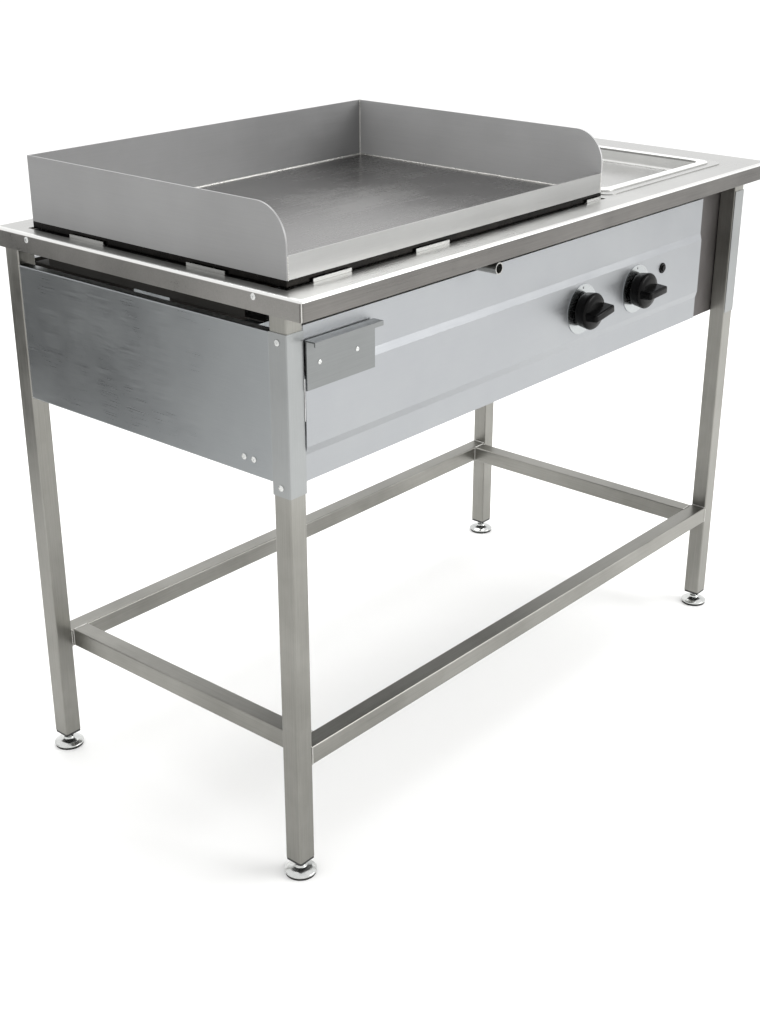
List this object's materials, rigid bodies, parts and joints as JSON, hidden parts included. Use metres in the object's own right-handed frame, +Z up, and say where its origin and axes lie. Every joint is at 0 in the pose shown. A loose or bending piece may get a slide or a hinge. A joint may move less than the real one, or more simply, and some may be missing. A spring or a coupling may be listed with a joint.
{
  "type": "flat top griddle",
  "caption": "Free-standing gas flat top griddle on an open tube stand, with splash walls on the plate, a side tray, two gas knobs, an igniter button and a grease spout.",
  "frame": {"origin": "on the floor under the middle of the whole object: halfway between its left and right sides and halfway between its knobs and its gas inlet", "axes": "+X to the user's right, +Y to the rear, +Z up; the knobs and the spout face -Y"},
  "size_m": [1.2044, 0.6392, 0.983],
  "materials": {
    "brass": "machined brass",
    "brushed_tube": "square stainless tube, brushed along its length",
    "burner_steel": "heat tinted stainless tube",
    "button_plastic": "black button",
    "ceramic": "white glazed ceramic",
    "copper_tube": "thin copper gas tube",
    "fastener": "bright zinc plated screws",
    "foot_rubber": "black rubber disc",
    "front_sheet": "pale matt stainless front sheet",
    "galvanised": "zinc coated folded sheet",
    "gas_pipe": "steel gas pipe",
    "index_foil": "satin index disc",
    "knob_plastic": "glossy black phenolic",
    "lead_jacket": "silicone insulated lead",
    "lug_steel": "stainless lugs",
    "panel_sheet": "brushed stainless side sheet",
    "plate_steel": "ground carbon steel cooking surface",
    "plug_plastic": "black moulded polyamide",
    "recess_sheet": "dark brushed sheet in shade",
    "tray_steel": "polished stainless pan",
    "wall_sheet": "ground stainless splash walls",
    "worktop_sheet": "brushed stainless sheet with a satin polish",
    "zinc_foot": "bright zinc plated steel"
  },
  "bodies": {
    "stand": {"burner_brackets": "galvanised", "burner_left": "burner_steel", "burner_right": "burner_steel", "corner_cover_left": "front_sheet", "corner_cover_right": "front_sheet", "cross_channels": "galvanised", "drain_spout": "worktop_sheet", "electrode": "ceramic", "front_panel": "front_sheet", "gas_manifold": "gas_pipe", "gas_tap_left": "brass", "gas_tap_right": "brass", "griddle_front_lip": "wall_sheet", "griddle_plate": "plate_steel", "griddle_wall_left": "wall_sheet", "griddle_wall_rear": "wall_sheet", "griddle_wall_right": "wall_sheet", "hook_bracket": "worktop_sheet", "hook_rivets": "fastener", "igniter_body": "plug_plastic", "ignition_lead": "lead_jacket", "index_plates": "index_foil", "injectors": "brass", "leg_front_left": "brushed_tube", "leg_front_right": "brushed_tube", "leg_plugs": "plug_plastic", "leg_rear_left": "brushed_tube", "leg_rear_right": "brushed_tube", "lower_rail_front": "brushed_tube", "lower_rail_left": "brushed_tube", "lower_rail_rear": "brushed_tube", "lower_rail_right": "brushed_tube", "plate_lugs": "lug_steel", "rear_panel": "panel_sheet", "recess_panel": "recess_sheet", "screws": "fastener", "side_panel_left": "panel_sheet", "side_panel_right": "panel_sheet", "stiffener_left": "worktop_sheet", "stiffener_middle": "worktop_sheet", "supply_pipes": "copper_tube", "upper_rail_front": "brushed_tube", "upper_rail_rear": "brushed_tube", "worktop": "worktop_sheet"},
    "levelling_foot_front_left": {"foot_front_left": "zinc_foot", "foot_pad_front_left": "foot_rubber"},
    "levelling_foot_front_right": {"foot_front_right": "zinc_foot", "foot_pad_front_right": "foot_rubber"},
    "levelling_foot_rear_left": {"foot_rear_left": "zinc_foot", "foot_pad_rear_left": "foot_rubber"},
    "levelling_foot_rear_right": {"foot_rear_right": "zinc_foot", "foot_pad_rear_right": "foot_rubber"},
    "tray": {"side_tray": "tray_steel"},
    "tap_plug_left": {"tap_plug_left": "brass"},
    "control_left": {"knob_left": "knob_plastic", "spindle_left": "fastener"},
    "tap_plug_right": {"tap_plug_right": "brass"},
    "control_right": {"knob_right": "knob_plastic", "spindle_right": "fastener"},
    "igniter_button": {"igniter_button": "button_plastic"}
  },
  "joints": [
    {"name": "level_front_left", "type": "slide", "parent": "stand", "child": "levelling_foot_front_left", "axis": [0, 0, -1], "range_m": [0, 0.02]},
    {"name": "level_front_right", "type": "slide", "parent": "stand", "child": "levelling_foot_front_right", "axis": [0, 0, -1], "range_m": [0, 0.02]},
    {"name": "level_rear_left", "type": "slide", "parent": "stand", "child": "levelling_foot_rear_left", "axis": [0, 0, -1], "range_m": [0, 0.02]},
    {"name": "level_rear_right", "type": "slide", "parent": "stand", "child": "levelling_foot_rear_right", "axis": [0, 0, -1], "range_m": [0, 0.02]},
    {"name": "tray_lift", "type": "slide", "parent": "stand", "child": "tray", "axis": [0, 0, 1], "range_m": [0, 0.06]},
    {"name": "knob_left_turn", "type": "hinge", "parent": "stand", "child": "tap_plug_left", "pos_m": [0.074, -0.26945, 0.718], "axis": [0, -1, 0], "range_deg": [0, 210]},
    {"name": "knob_left_push", "type": "slide", "parent": "tap_plug_left", "child": "control_left", "axis": [0, 1, 0], "range_m": [0, 0.003], "stiffness_N_per_m": 600, "springref_m": -0.004},
    {"name": "knob_right_turn", "type": "hinge", "parent": "stand", "child": "tap_plug_right", "pos_m": [0.234, -0.26945, 0.718], "axis": [0, -1, 0], "range_deg": [0, 210]},
    {"name": "knob_right_push", "type": "slide", "parent": "tap_plug_right", "child": "control_right", "axis": [0, 1, 0], "range_m": [0, 0.003], "stiffness_N_per_m": 600, "springref_m": -0.004},
    {"name": "igniter_push", "type": "slide", "parent": "stand", "child": "igniter_button", "axis": [0, 1, 0], "range_m": [0, 0.0035], "stiffness_N_per_m": 800, "springref_m": -0.002}
  ]
}
